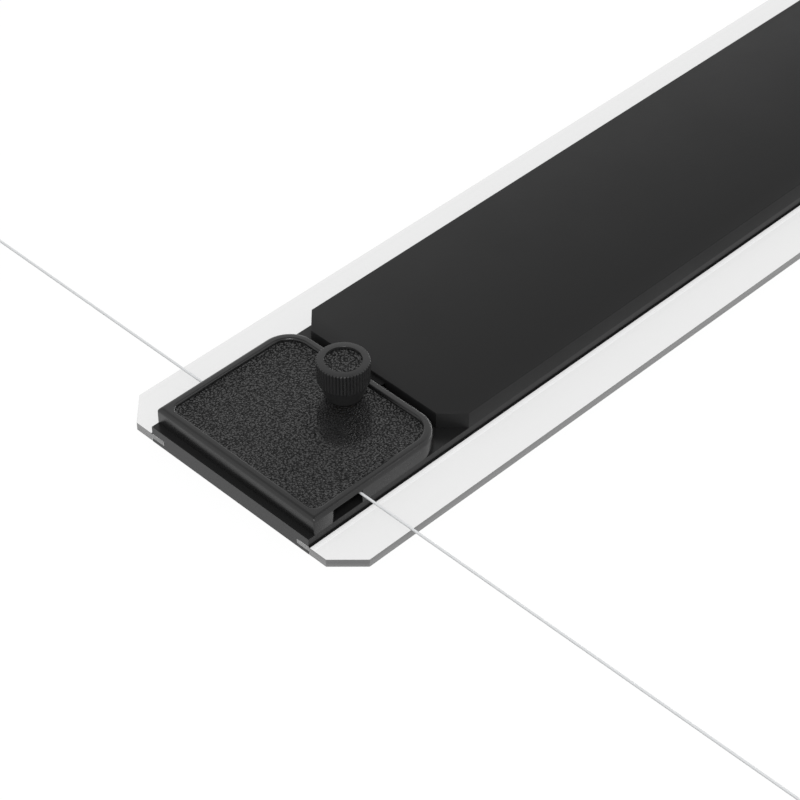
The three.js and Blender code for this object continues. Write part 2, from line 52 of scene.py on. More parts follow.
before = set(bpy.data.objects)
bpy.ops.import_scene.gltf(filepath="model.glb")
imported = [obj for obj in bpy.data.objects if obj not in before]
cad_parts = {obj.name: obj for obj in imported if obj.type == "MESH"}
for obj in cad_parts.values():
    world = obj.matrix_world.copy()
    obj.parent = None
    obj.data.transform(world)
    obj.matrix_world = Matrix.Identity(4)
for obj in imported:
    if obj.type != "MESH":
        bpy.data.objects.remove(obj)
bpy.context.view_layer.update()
MM = 0.001


def corners(node):
    """The low and the high corner of a frame node's box."""
    low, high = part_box(node)
    return Vector(low), Vector(high)


# Places taken from the frame
CORE_LOW, CORE_HIGH = corners("core_board")
COVER_LOW, COVER_HIGH = corners("centre_cover")
EDGE_LOW, EDGE_HIGH = corners("rear_clear_edge")
CAP_LOW, CAP_HIGH = corners("near_end_cap")
KNOB_LOW, KNOB_HIGH = corners("near_brake_knob")
CORE_TOP = CORE_HIGH.z
HALF_TURN = Matrix.Rotation(math.pi, 4, "Z")

# The slot for the wires that caps and cover share, and how far a cutter stands past what it cuts
SLOT_HALF = 5.6 * MM
SLOT_HEIGHT = 4.6 * MM
REACH = 1 * MM

# Places closer than this are the same
SAME_PLACE = 0.01 * MM

# How much of a face's normal has to lie along an axis for the face to be square to it, or to lean towards it
SQUARE = 0.99
LEANING = 0.5


# Settings

class StraightedgeSizes(bpy.types.PropertyGroup):
    cap_rim: FloatProperty(
        name="Cap rim", description="Radius of the cap's rolled outer rim", default=1.5 * MM, unit="LENGTH")
    cap_far_corner: FloatProperty(
        name="Cap round corner", description="Plan radius of the corners towards the middle",
        default=10.5 * MM, unit="LENGTH")
    cap_near_corner: FloatProperty(
        name="Cap square corner", description="Radius that softens the corners at the blade's end",
        default=0.5 * MM, unit="LENGTH")
    cap_wall: FloatProperty(
        name="Cap wall", description="Wall thickness of the caps", default=1.6 * MM, unit="LENGTH")
    panel_depth: FloatProperty(
        name="Panel depth", description="How far the grained panel lies below the rim",
        default=0.85 * MM, unit="LENGTH")
    cover_corner_cut: FloatProperty(
        name="Cover corner cut", description="Legs of the cover's cut corners",
        default=7.1 * MM, unit="LENGTH")
    knurl_depth: FloatProperty(
        name="Knurl depth", description="Depth of the knob's grooves", default=0.4 * MM, unit="LENGTH")
    knurl_count: IntProperty(name="Knurls", description="Grooves round the knob", default=48, min=12)
    acrylic_corner_cut: FloatProperty(
        name="Acrylic corner cut", description="Legs of the clear edges' cut corners",
        default=9 * MM, unit="LENGTH")
    # Width of the black strip painted on the acrylic as the contact shadow at the core's foot
    shadow_line_width: FloatProperty(
        name="Seam width", description="Width of the black sealing line at the core's foot",
        default=0.55 * MM, unit="LENGTH")
    wire_diameter: FloatProperty(
        name="Wire diameter", description="Over its coating", default=0.86 * MM, unit="LENGTH")


class StraightedgeFinishes(bpy.types.PropertyGroup):
    # Black plastic also colours the black strips painted as shade: the contact-shadow lines at the core's
    # foot and the cover's lip tips
    black: FloatVectorProperty(
        name="Black plastic", description="Colour of the caps and the seams", subtype="COLOR", size=3,
        default=(0.0075, 0.0075, 0.0077))
    knob: FloatVectorProperty(
        name="Knob plastic", description="Colour of the knobs", subtype="COLOR", size=3,
        default=(0.027, 0.027, 0.0273))
    core_black: FloatVectorProperty(
        name="Core black", description="Colour of the core board's faces and of the cover", subtype="COLOR",
        size=3, default=(0.0105, 0.0105, 0.0107))
    core_cut: FloatVectorProperty(
        name="Core cut", description="Colour of the core board's sawn ends", subtype="COLOR", size=3,
        default=(0.039, 0.039, 0.04))
    acrylic: FloatVectorProperty(
        name="Acrylic", description="Tint of the clear edges", subtype="COLOR", size=3,
        default=(0.45, 0.45, 0.45))
    bonded_acrylic: FloatVectorProperty(
        name="Bonded acrylic", description="Colour of the clear edges' faces at the core", subtype="COLOR",
        size=3, default=(0.3, 0.3, 0.3))
    wire_coat: FloatVectorProperty(
        name="Wire coating", description="Colour of the coated wires", subtype="COLOR", size=3,
        default=(0.66, 0.67, 0.68))
    plated_steel: FloatVectorProperty(
        name="Plated steel", description="Colour of brackets, plates, axles, studs and screws",
        subtype="COLOR", size=3, default=(0.56, 0.57, 0.58))
    ground_steel: FloatVectorProperty(
        name="Ground steel", description="Colour of the bearings", subtype="COLOR", size=3,
        default=(0.66, 0.67, 0.68))
    brass: FloatVectorProperty(
        name="Brass", description="Colour of the terminals and the brake bushes", subtype="COLOR", size=3,
        default=(0.62, 0.44, 0.19))
    nylon: FloatVectorProperty(
        name="Nylon", description="Colour of pulleys, pads and bridge", subtype="COLOR", size=3,
        default=(0.72, 0.71, 0.68))
    rubber: FloatVectorProperty(
        name="Rubber", description="Colour of the brake shoes", subtype="COLOR", size=3,
        default=(0.03, 0.028, 0.026))


class StraightedgeStage(bpy.types.PropertyGroup):
    eye: FloatVectorProperty(
        name="Camera place", description="Where the photograph was taken from", subtype="XYZ", size=3,
        default=(-0.75234, -0.44095, 0.55863))
    azimuth: FloatProperty(
        name="Azimuth", description="Viewing direction from +Y towards +X", subtype="ANGLE",
        default=math.radians(45.197))
    elevation: FloatProperty(
        name="Elevation", description="Height of the camera above the horizon", subtype="ANGLE",
        default=math.radians(42.118))
    sensor: FloatProperty(name="Sensor", description="Width of the camera's sensor, in mm", default=36)
    lens: FloatProperty(name="Lens", description="Focal length on that sensor, in mm", default=120.2)
    floor_size: FloatProperty(
        name="Floor size", description="Side of the square floor", default=8, unit="LENGTH")
    floor_shade: FloatProperty(
        name="Floor shade", description="How much light the floor throws back", default=0.06)
    floor_glow: FloatProperty(
        name="Floor glow", description="White that is added where the floor is seen", default=0.945)
    world_level: FloatProperty(
        name="World level", description="Strength of the even light from all round", default=0.8)
    ceiling_level: FloatProperty(
        name="Ceiling level", description="Share of the white that gloss shows from overhead", default=0.45)
    softbox_power: FloatProperty(
        name="Softbox power", description="Power of the lamp above the camera, in watts", default=9)
    softbox_size: FloatProperty(
        name="Softbox size", description="Side of that square lamp", default=0.6, unit="LENGTH")
    side_strip_power: FloatProperty(
        name="Side strip power", description="Power of the small lamp at the right, in watts", default=0.5)
    low_strip_power: FloatProperty(
        name="Low strip power", description="Power of the long low lamp beyond the cap, in watts",
        default=4.2)


def sizes():
    return bpy.context.scene.straightedge_sizes


def finishes():
    return bpy.context.scene.straightedge_finishes


# Modelling helpers

def deselect_all():
    if bpy.context.mode != "OBJECT":
        bpy.ops.object.mode_set(mode="OBJECT")
    bpy.ops.object.select_all(action="DESELECT")


def select_only(piece):
    deselect_all()
    piece.select_set(True)
    bpy.context.view_layer.objects.active = piece


def settle(piece):
    """Puts the object at the origin, with its place in its mesh."""
    select_only(piece)
    bpy.ops.object.transform_apply(location=True, rotation=True, scale=True)
    return piece


@contextmanager
def editing(piece):
    select_only(piece)
    bpy.ops.object.mode_set(mode="EDIT")
    bpy.ops.mesh.select_mode(type="VERT")
    bpy.ops.mesh.select_all(action="DESELECT")
    yield
    bpy.ops.object.mode_set(mode="OBJECT")


def pick(piece, kind, parts, traits, wanted):
    """Selects those of a mesh's parts whose traits pass the test."""
    bpy.ops.mesh.select_mode(type=kind)
    bpy.ops.mesh.select_all(action="DESELECT")
    shape = bmesh.from_edit_mesh(piece.data)
    for part in getattr(shape, parts):
        if wanted(*traits(part)):
            part.select_set(True)
    if kind == "VERT":
        shape.select_flush(True)
    bmesh.update_edit_mesh(piece.data)


def pick_faces(piece, wanted):
    """Selects the faces whose centre and normal pass the test."""
    pick(piece, "FACE", "faces", lambda face: (face.calc_center_median(), face.normal), wanted)


def pick_edges(piece, wanted):
    """Selects the edges whose two ends pass the test."""
    pick(piece, "EDGE", "edges", lambda edge: (edge.verts[0].co, edge.verts[1].co), wanted)


def pick_points(piece, wanted):
    """Selects the vertices whose place passes the test."""
    pick(piece, "VERT", "verts", lambda point: (point.co,), wanted)


def near(a, b):
    return abs(a - b) < SAME_PLACE


def upright(a, b):
    return near(a.x, b.x) and near(a.y, b.y)


def extrude(shift):
    bpy.ops.mesh.extrude_region_move(TRANSFORM_OT_translate={"value": shift})


def bevel_edges(width, segments):
    bpy.ops.mesh.bevel(offset=width, segments=segments, affect="EDGES")


def face_outwards():
    bpy.ops.mesh.select_all(action="SELECT")
    bpy.ops.mesh.normals_make_consistent(inside=False)


def named(name):
    """The piece that was just added, with its name."""
    piece = bpy.context.object
    piece.name = piece.data.name = name
    return piece


def add_block(name, low, high):
    low, high = Vector(low), Vector(high)
    deselect_all()
    bpy.ops.mesh.primitive_cube_add(size=1, location=(low + high) / 2)
    piece = named(name)
    piece.scale = high - low
    return settle(piece)


def add_turned(name, profile, sides, centre=(0, 0, 0)):
    """Draws a body of rings up a vertical axis; the profile gives each ring's radius and height."""
    deselect_all()
    radius, height = profile[0]
    bpy.ops.mesh.primitive_circle_add(
        vertices=sides, radius=radius, fill_type="NGON", location=(0, 0, height))
    piece = settle(named(name))
    with editing(piece):
        bpy.ops.mesh.select_mode(type="FACE")
        bpy.ops.mesh.select_all(action="SELECT")
        for next_radius, next_height in profile[1:]:
            extrude((0, 0, next_height - height))
            factor = next_radius / radius
            bpy.ops.transform.resize(value=(factor, factor, 1), center_override=(0, 0, next_height))
            radius, height = next_radius, next_height
        face_outwards()
    piece.location = centre
    return settle(piece)


def carve(piece, tool, operation="DIFFERENCE"):
    """Cuts the tool out of the piece, or joins it on, and uses the tool up."""
    select_only(piece)
    step = piece.modifiers.new("carve", "BOOLEAN")
    step.operation = operation
    step.solver = "EXACT"
    step.object = tool
    bpy.ops.object.modifier_apply(modifier=step.name)
    bpy.data.objects.remove(tool)


def soften(piece, width, segments=2, angle=35):
    """Rounds every edge sharper than the angle, in degrees."""
    select_only(piece)
    step = piece.modifiers.new("soften", "BEVEL")
    step.width = width
    step.segments = segments
    step.limit_method = "ANGLE"
    step.angle_limit = math.radians(angle)
    step.use_clamp_overlap = True
    bpy.ops.object.modifier_apply(modifier=step.name)


def smooth(piece, angle=32):
    """Shades as round every edge flatter than the angle, in degrees."""
    select_only(piece)
    bpy.ops.object.shade_smooth_by_angle(angle=math.radians(angle))


def turned_copy(piece, name):
    """A copy with its own mesh, turned half round about the blade's middle."""
    twin = piece.copy()
    twin.data = piece.data.copy()
    twin.name = twin.data.name = name
    bpy.context.collection.objects.link(twin)
    twin.data.transform(HALF_TURN)
    return twin


def dress(piece, finish_names, body, slot, *nodes):
    """Gives a finished piece its materials and its body, and hides the nodes that it stands for. The record
    slot is not used.
    """
    for name in finish_names:
        piece.data.materials.append(finish(name))
    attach(piece, body)
    if nodes:
        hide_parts(*nodes)
    return piece


# Shader helpers

def feed(links, value, socket):
    """Sets a socket to a number, or links another socket to it."""
    if isinstance(value, (int, float)):
        socket.default_value = value
    else:
        links.new(value, socket)


def math_node(nodes, links, operation, first, second):
    node = nodes.new("ShaderNodeMath")
    node.operation = operation
    for socket, value in zip(node.inputs, (first, second)):
        feed(links, value, socket)
    return node.outputs[0]


def remap(nodes, links, value, from_low, from_high, to_low, to_high):
    node = nodes.new("ShaderNodeMapRange")
    node.clamp = True
    links.new(value, node.inputs["Value"])
    bounds = {"From Min": from_low, "From Max": from_high, "To Min": to_low, "To Max": to_high}
    for label, bound in bounds.items():
        feed(links, bound, node.inputs[label])
    return node.outputs["Result"]


def object_place(nodes):
    return nodes.new("ShaderNodeTexCoord").outputs["Object"]


def noise(nodes, links, place, scale, detail):
    node = nodes.new("ShaderNodeTexNoise")
    node.inputs["Detail"].default_value = detail
    links.new(place, node.inputs["Vector"])
    feed(links, scale, node.inputs["Scale"])
    return node


# Shader groups

def new_group(name, inputs, outputs):
    """An empty shader group of float sockets, the inputs given with their defaults, and its two end nodes."""
    group = bpy.data.node_groups.new(name, "ShaderNodeTree")
    for label, default in inputs.items():
        socket = group.interface.new_socket(label, in_out="INPUT", socket_type="NodeSocketFloat")
        socket.default_value = default
    for label in outputs:
        group.interface.new_socket(label, in_out="OUTPUT", socket_type="NodeSocketFloat")
    nodes = group.nodes
    return nodes, group.links, nodes.new("NodeGroupInput").outputs, nodes.new("NodeGroupOutput").inputs


def pebble_grain_group():
    """Moulded pebble grain: small domes with creases between them, bent out of shape by a noise. Its Coat
    output is painted shade: it thins the gloss coat towards the creases so that they look shaded.
    """
    nodes, links, given, out = new_group("Pebble grain", {"Scale": 1500, "Breakup": 0.35}, ["Height", "Coat"])
    warp_detail, warp_reach = 1, 0.5 * MM
    fine_detail, fine_share = 2, 1.3
    dome_power = 1.5
    crease_shade_height, top_height, top_coat = 0.74, 1.03, 1.05
    place = object_place(nodes)
    warp = noise(nodes, links, place, given["Scale"], warp_detail)
    shift = nodes.new("ShaderNodeVectorMath")
    shift.operation = "SCALE"
    shift.inputs["Scale"].default_value = warp_reach
    links.new(warp.outputs["Color"], shift.inputs[0])
    warped = nodes.new("ShaderNodeVectorMath")
    links.new(place, warped.inputs[0])
    links.new(shift.outputs[0], warped.inputs[1])
    cells = nodes.new("ShaderNodeTexVoronoi")
    links.new(warped.outputs[0], cells.inputs["Vector"])
    links.new(given["Scale"], cells.inputs["Scale"])
    fine_scale = math_node(nodes, links, "MULTIPLY", given["Scale"], fine_share)
    fine = noise(nodes, links, place, fine_scale, fine_detail)
    rough = math_node(nodes, links, "MULTIPLY", fine.outputs["Fac"], given["Breakup"])
    away = math_node(nodes, links, "POWER", cells.outputs["Distance"], dome_power)
    dome = math_node(nodes, links, "SUBTRACT", 1, away)
    height = math_node(nodes, links, "ADD", dome, rough)
    links.new(height, out["Height"])
    # Painted shade in the creases: the coat weight falls to nothing towards them
    links.new(remap(nodes, links, height, crease_shade_height, top_height, 0, top_coat), out["Coat"])


def handling_group():
    """Uneven gloss from handling: broad patches move the roughness up and down."""
    nodes, links, given, out = new_group(
        "Handling", {"Roughness": 0.4, "Spread": 0.06, "Scale": 40}, ["Roughness"])
    detail, breakup = 5, 0.6
    least, most = 0.3, 0.7
    patches = noise(nodes, links, object_place(nodes), given["Scale"], detail)
    patches.inputs["Roughness"].default_value = breakup
    low = math_node(nodes, links, "SUBTRACT", given["Roughness"], given["Spread"])
    high = math_node(nodes, links, "ADD", given["Roughness"], given["Spread"])
    links.new(remap(nodes, links, patches.outputs["Fac"], least, most, low, high), out["Roughness"])


def satin_skin_group():
    """The faint orange peel of a moulded or laminated face."""
    nodes, links, given, out = new_group("Satin skin", {"Scale": 900}, ["Height"])
    detail = 3
    peel = noise(nodes, links, object_place(nodes), given["Scale"], detail)
    links.new(peel.outputs["Fac"], out["Height"])


def brushed_group():
    """Fine parallel lines along X, as on rolled or brushed sheet."""
    nodes, links, given, out = new_group("Brushed lines", {"Scale": 60}, ["Height"])
    detail, squeeze = 4, (1, 40, 40)
    stretch = nodes.new("ShaderNodeMapping")
    stretch.inputs["Scale"].default_value = squeeze
    links.new(object_place(nodes), stretch.inputs["Vector"])
    lines = noise(nodes, links, stretch.outputs["Vector"], given["Scale"], detail)
    links.new(lines.outputs["Fac"], out["Height"])


# Materials

def new_material(colour, roughness, metallic=0, gloss=0.5):
    material = bpy.data.materials.new("finish")
    material.use_nodes = True
    shader = material.node_tree.nodes["Principled BSDF"]
    shader.inputs["Base Color"].default_value = (*colour, 1)
    shader.inputs["Roughness"].default_value = roughness
    shader.inputs["Metallic"].default_value = metallic
    shader.inputs["Specular IOR Level"].default_value = gloss
    material.diffuse_color = (*colour, 1)
    return material, material.node_tree.nodes, material.node_tree.links, shader


def place_group(nodes, name, **values):
    node = nodes.new("ShaderNodeGroup")
    node.node_tree = bpy.data.node_groups[name]
    for label, value in values.items():
        node.inputs[label].default_value = value
    return node


def relief(nodes, links, shader, height, depth):
    bump = nodes.new("ShaderNodeBump")
    bump.inputs["Distance"].default_value = depth
    links.new(height, bump.inputs["Height"])
    links.new(bump.outputs["Normal"], shader.inputs["Normal"])


def handled(nodes, links, shader, spread, patches):
    """Lets the handling marks move the shader's roughness by the spread, up and down."""
    roughness = shader.inputs["Roughness"]
    node = place_group(nodes, "Handling", Roughness=roughness.default_value, Spread=spread, Scale=patches)
    links.new(node.outputs["Roughness"], roughness)


def even_finish(colour, spread, patches, texture=None, scale=0, depth=0, **looks):
    """A finish of one colour, with handling marks and, where a texture is named, its relief."""
    material, nodes, links, shader = new_material(getattr(finishes(), colour), **looks)
    handled(nodes, links, shader, spread, patches)
    if texture:
        layer = place_group(nodes, texture, Scale=scale)
        relief(nodes, links, shader, layer.outputs["Height"], depth)
    return material


def grained_black():
    """The caps' panels and the knobs' dishes: grains that shine on a dull ground, with painted shade in the
    creases, where the grain's Coat output thins the gloss coat.
    """
    material, nodes, links, shader = new_material(finishes().black, roughness=0.3, gloss=0.1)
    handled(nodes, links, shader, spread=0.05, patches=80)
    coat_roughness, grain_depth = 0.15, 0.6 * MM
    shader.inputs["Coat Roughness"].default_value = coat_roughness
    grain = place_group(nodes, "Pebble grain", Scale=1450, Breakup=0.35)
    # Painted crease shade: the grain's Coat output sets the coat weight
    links.new(grain.outputs["Coat"], shader.inputs["Coat Weight"])
    relief(nodes, links, shader, grain.outputs["Height"], grain_depth)
    return material


def colour_mix(nodes, links, factor):
    node = nodes.new("ShaderNodeMix")
    node.data_type = "RGBA"
    links.new(factor, node.inputs["Factor"])
    return node


def core_laminate():
    """Black laminate faces; the sawn ends show the greyer board."""
    material, nodes, links, shader = new_material(finishes().core_black, roughness=0.3, gloss=0.27)
    handled(nodes, links, shader, spread=0.03, patches=30)
    saw_depth, fibre_scale, fibre_detail = 0.02 * MM, 2500, 2
    darker, lighter = 0.8, 1.2
    skin_scale, skin_depth = 1000, 0.012 * MM
    place = object_place(nodes)
    apart = nodes.new("ShaderNodeSeparateXYZ")
    links.new(place, apart.inputs[0])
    distance = math_node(nodes, links, "ABSOLUTE", apart.outputs["X"], 0)
    sawn = math_node(nodes, links, "GREATER_THAN", distance, CORE_HIGH.x - saw_depth)
    fibres = noise(nodes, links, place, fibre_scale, fibre_detail)
    speckle = colour_mix(nodes, links, fibres.outputs["Fac"])
    speckle.inputs["A"].default_value = (*[darker * c for c in finishes().core_cut], 1)
    speckle.inputs["B"].default_value = (*[lighter * c for c in finishes().core_cut], 1)
    blend = colour_mix(nodes, links, sawn)
    blend.inputs["A"].default_value = (*finishes().core_black, 1)
    links.new(speckle.outputs["Result"], blend.inputs["B"])
    links.new(blend.outputs["Result"], shader.inputs["Base Color"])
    skin = place_group(nodes, "Satin skin", Scale=skin_scale)
    relief(nodes, links, shader, skin.outputs["Height"], skin_depth)
    return material


def clear_acrylic():
    """A thin clear sheet: mostly see-through, with a faint grey of its own."""
    material, nodes, links, shader = new_material(finishes().acrylic, roughness=0.06)
    handled(nodes, links, shader, spread=0.03, patches=20)
    outer_alpha = 0.3
    side = nodes.new("ShaderNodeNewGeometry")
    links.new(remap(nodes, links, side.outputs["Backfacing"], 0, 1, outer_alpha, 0), shader.inputs["Alpha"])
    return material


def sawn_acrylic():
    """The clear edges' milled rims: dull from outside, lost to sight through the sheet."""
    material, nodes, links, shader = new_material(finishes().acrylic, roughness=0.4)
    handled(nodes, links, shader, spread=0.08, patches=60)
    square_on, slanted, square_tone, slanted_tone = 0.26, 0.48, 0.2, 0.36
    marks_scale, marks_depth = 80, 0.01 * MM
    # Painted sheen: the rims' grey is set by the angle at which they are seen, lighter at a slant and darker
    # square on
    facing = nodes.new("ShaderNodeLayerWeight").outputs["Facing"]
    tone = remap(nodes, links, facing, square_on, slanted, square_tone, slanted_tone)
    links.new(tone, shader.inputs["Base Color"])
    inside = nodes.new("ShaderNodeNewGeometry").outputs["Backfacing"]
    links.new(math_node(nodes, links, "SUBTRACT", 1, inside), shader.inputs["Alpha"])
    marks = place_group(nodes, "Brushed lines", Scale=marks_scale)
    relief(nodes, links, shader, marks.outputs["Height"], marks_depth)
    return material


def bonded_acrylic():
    """The clear edges' hidden faces at the core: frosted by the saw, with a painted white glow standing in
    for the light that the sheet gathers.
    """
    material, nodes, links, shader = new_material(finishes().bonded_acrylic, roughness=0.5)
    handled(nodes, links, shader, spread=0.08, patches=60)
    painted_glow = 0.78
    # Painted light: a white emission makes these faces glow as if lit through the sheet
    shader.inputs["Emission Color"].default_value = (1, 1, 1, 1)
    shader.inputs["Emission Strength"].default_value = painted_glow
    return material


EVEN_FINISHES = {
    "gloss_black": dict(
        colour="black", roughness=0.28, spread=0.04, patches=60,
        texture="Satin skin", scale=1200, depth=0.004 * MM),
    "knob_black": dict(
        colour="knob", roughness=0.3, gloss=0.27, spread=0.05, patches=120,
        texture="Satin skin", scale=1500, depth=0.012 * MM),
    "cover_satin": dict(
        colour="core_black", roughness=0.5, gloss=0.22, spread=0.04, patches=25,
        texture="Satin skin", scale=1100, depth=0.02 * MM),
    # Dull black for strips painted as shade: the contact-shadow lines at the core's foot and the cover's lip
    # tips in the gap
    "seam_black": dict(colour="black", roughness=0.6, gloss=0.1, spread=0.1, patches=300),
    "coated_wire": dict(
        colour="wire_coat", roughness=0.35, spread=0.06, patches=200,
        texture="Satin skin", scale=2500, depth=0.01 * MM),
    "plated_steel": dict(
        colour="plated_steel", metallic=1, roughness=0.32, spread=0.08, patches=150,
        texture="Brushed lines", scale=70, depth=0.01 * MM),
    "ground_steel": dict(colour="ground_steel", metallic=1, roughness=0.18, spread=0.05, patches=300),
    "turned_brass": dict(colour="brass", metallic=1, roughness=0.28, spread=0.08, patches=250),
    "natural_nylon": dict(
        colour="nylon", roughness=0.45, spread=0.06, patches=120,
        texture="Satin skin", scale=1500, depth=0.015 * MM),
    "brake_rubber": dict(
        colour="rubber", roughness=0.75, spread=0.08, patches=150,
        texture="Satin skin", scale=1800, depth=0.03 * MM),
}

OTHER_FINISHES = {
    "grained_black": grained_black,
    "core_laminate": core_laminate,
    "clear_acrylic": clear_acrylic,
    "sawn_acrylic": sawn_acrylic,
    "bonded_acrylic": bonded_acrylic,
}


def finish(name):
    """The material of that name, made on first use. The frame's own materials have plain slot names."""
    label = f"finish_{name}"
    made = bpy.data.materials.get(label)
    if made is None:
        if name in EVEN_FINISHES:
            made = even_finish(**EVEN_FINISHES[name])
        else:
            made = OTHER_FINISHES[name]()
        made.name = label
    return made


def repaint(node, name):
    """A CAD node keeps its shape and gets a better material."""
    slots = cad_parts[node].data.materials
    slots.clear()
    slots.append(finish(name))


# Pieces

class STRAIGHTEDGE_OT_camera(bpy.types.Operator):
    """Place the camera where the photograph was taken from"""

    bl_idname = "straightedge.camera"
    bl_label = "Camera"

    def execute(self, context):
        stage = context.scene.straightedge_stage
        deselect_all()
        bpy.ops.object.camera_add(
            location=stage.eye, rotation=(math.pi / 2 - stage.elevation, 0, -stage.azimuth))
        camera = context.object
        camera.name = "photograph_camera"
        camera.data.sensor_width = stage.sensor
        camera.data.lens = stage.lens
        context.scene.camera = camera
        return {"FINISHED"}


class STRAIGHTEDGE_OT_groups(bpy.types.Operator):
    """Build the shader groups that the materials share"""

    bl_idname = "straightedge.groups"
    bl_label = "Shader groups"

    def execute(self, context):
        for build in (pebble_grain_group, handling_group, satin_skin_group, brushed_group):
            build()
        return {"FINISHED"}


class STRAIGHTEDGE_OT_wires(bpy.types.Operator):
    """Add the four free wires, each with its terminal and its bracket on the board"""

    bl_idname = "straightedge.wires"
    bl_label = "Free wires and brackets"

    round_sides = 32
    wire_sides = 16
    wire_points = 25
    wire_angle = 50

    def terminal(self, name, node, side):
        """A ferrule crimped on the wire, with a neck in the bracket's slot and a head behind it."""
        low, high = corners(node)
        middle = (low + high) / 2
        head_radius = (high.x - low.x) / 2
        length = high.y - low.y
        sleeve, sleeve_radius = 8 * MM, 1.5 * MM
        neck, neck_radius = 1.8 * MM, 1 * MM
        edge, crimp = 0.35 * MM, 0.25 * MM
        crimps, first_crimp, crimp_pitch = 3, 2.2 * MM, 2 * MM
        profile = [(sleeve_radius - edge, 0), (sleeve_radius, edge)]
        for i in range(crimps):
            place = first_crimp + i * crimp_pitch
            profile += [(sleeve_radius, place - 2 * crimp), (sleeve_radius - crimp, place - crimp),
                        (sleeve_radius - crimp, place + crimp), (sleeve_radius, place + 2 * crimp)]
        profile += [(sleeve_radius, sleeve), (neck_radius, sleeve), (neck_radius, sleeve + neck),
                    (head_radius - edge / 2, sleeve + neck), (head_radius, sleeve + neck + edge / 2),
                    (head_radius, length - edge), (head_radius - edge, length)]
        piece = add_turned(name, profile, self.round_sides)
        piece.rotation_euler = (-side * math.pi / 2, 0, 0)
        piece.location = (middle.x, low.y if side > 0 else high.y, middle.z)
        settle(piece)
        smooth(piece)
        return dress(piece, ["turned_brass"], "board_anchors", "brass", node)

    def bracket(self, name, node, side):
        """Sheet steel bent up at a right angle, slotted for the terminal and drilled for two screws."""
        low, high = corners(node)
        sheet, bend, bend_steps = 1.5 * MM, 2 * MM, 8
        corner, corner_steps = 3 * MM, 6
        merge_distance = 0.001 * MM
        slot_half, slot_floor, slot_reach = 1.4 * MM, 8.85 * MM, 5 * MM
        hole_radius, hole_offset = 2.1 * MM, 5 * MM
        edge = 0.2 * MM
        front, back = (low.y, high.y) if side > 0 else (high.y, low.y)
        turn_line = front + side * bend
        bend_top = low.z + bend
        base = add_block(name, (low.x, min(turn_line, back), low.z),
                         (high.x, max(turn_line, back), low.z + sheet))
        with editing(base):
            pick_faces(base, lambda middle, normal: near(middle.y, turn_line))
            bpy.ops.mesh.spin(
                steps=bend_steps, angle=side * math.pi / 2, center=(0, turn_line, bend_top), axis=(1, 0, 0))
            extrude((0, 0, high.z - bend_top))
            pick_edges(base, lambda a, b: upright(a, b) and near(a.y, back))
            bevel_edges(corner, corner_steps)
            bpy.ops.mesh.select_all(action="SELECT")
            bpy.ops.mesh.remove_doubles(threshold=merge_distance)
            face_outwards()
        middle = (low.x + high.x) / 2
        carve(base, add_block("slot", (middle - slot_half, front - slot_reach, slot_floor),
                              (middle + slot_half, front + slot_reach, high.z + slot_reach)))
        hole_row = (front + side * sheet + back) / 2
        for hole in (-1, 1):
            carve(base, add_turned("hole", [(hole_radius, -sheet), (hole_radius, 2 * sheet)],
                                   self.round_sides, (middle + hole * hole_offset, hole_row, 0)))
        soften(base, edge)
        smooth(base)
        return dress(base, ["plated_steel"], "board_anchors", "steel", node)

    def wire(self, name, node, side):
        """A coated wire pulled straight between its door and its terminal, and its route."""
        low, high = corners(node)
        x, z = (low.x + high.x) / 2, (low.z + high.z) / 2
        board_end, blade_end = (high.y, low.y) if side > 0 else (low.y, high.y)
        route = [Vector((x, blade_end + (board_end - blade_end) * i / (self.wire_points - 1), z))
                 for i in range(self.wire_points)]
        deselect_all()
        radius = sizes().wire_diameter / 2
        bpy.ops.mesh.primitive_circle_add(
            vertices=self.wire_sides, radius=radius, fill_type="NGON", location=route[0],
            rotation=(math.pi / 2, 0, 0))
        piece = settle(named(name))
        with editing(piece):
            bpy.ops.mesh.select_all(action="SELECT")
            for here, onward in zip(route, route[1:]):
                extrude(onward - here)
            face_outwards()
        smooth(piece, self.wire_angle)
        return piece, route

    def execute(self, context):
        for end in ("near", "far"):
            for label, side in (("rear", 1), ("front", -1)):
                name = f"{end}_{label}"
                ferrule = self.terminal(f"{name}_ferrule", f"{name}_terminal", side)
                clip = self.bracket(f"{name}_clip", f"{name}_bracket", side)
                wire, route = self.wire(f"{name}_free_wire", f"{name}_wire", side)
                wire.data.materials.append(finish("coated_wire"))
                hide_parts(f"{name}_wire")
                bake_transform(wire)
        return {"FINISHED"}


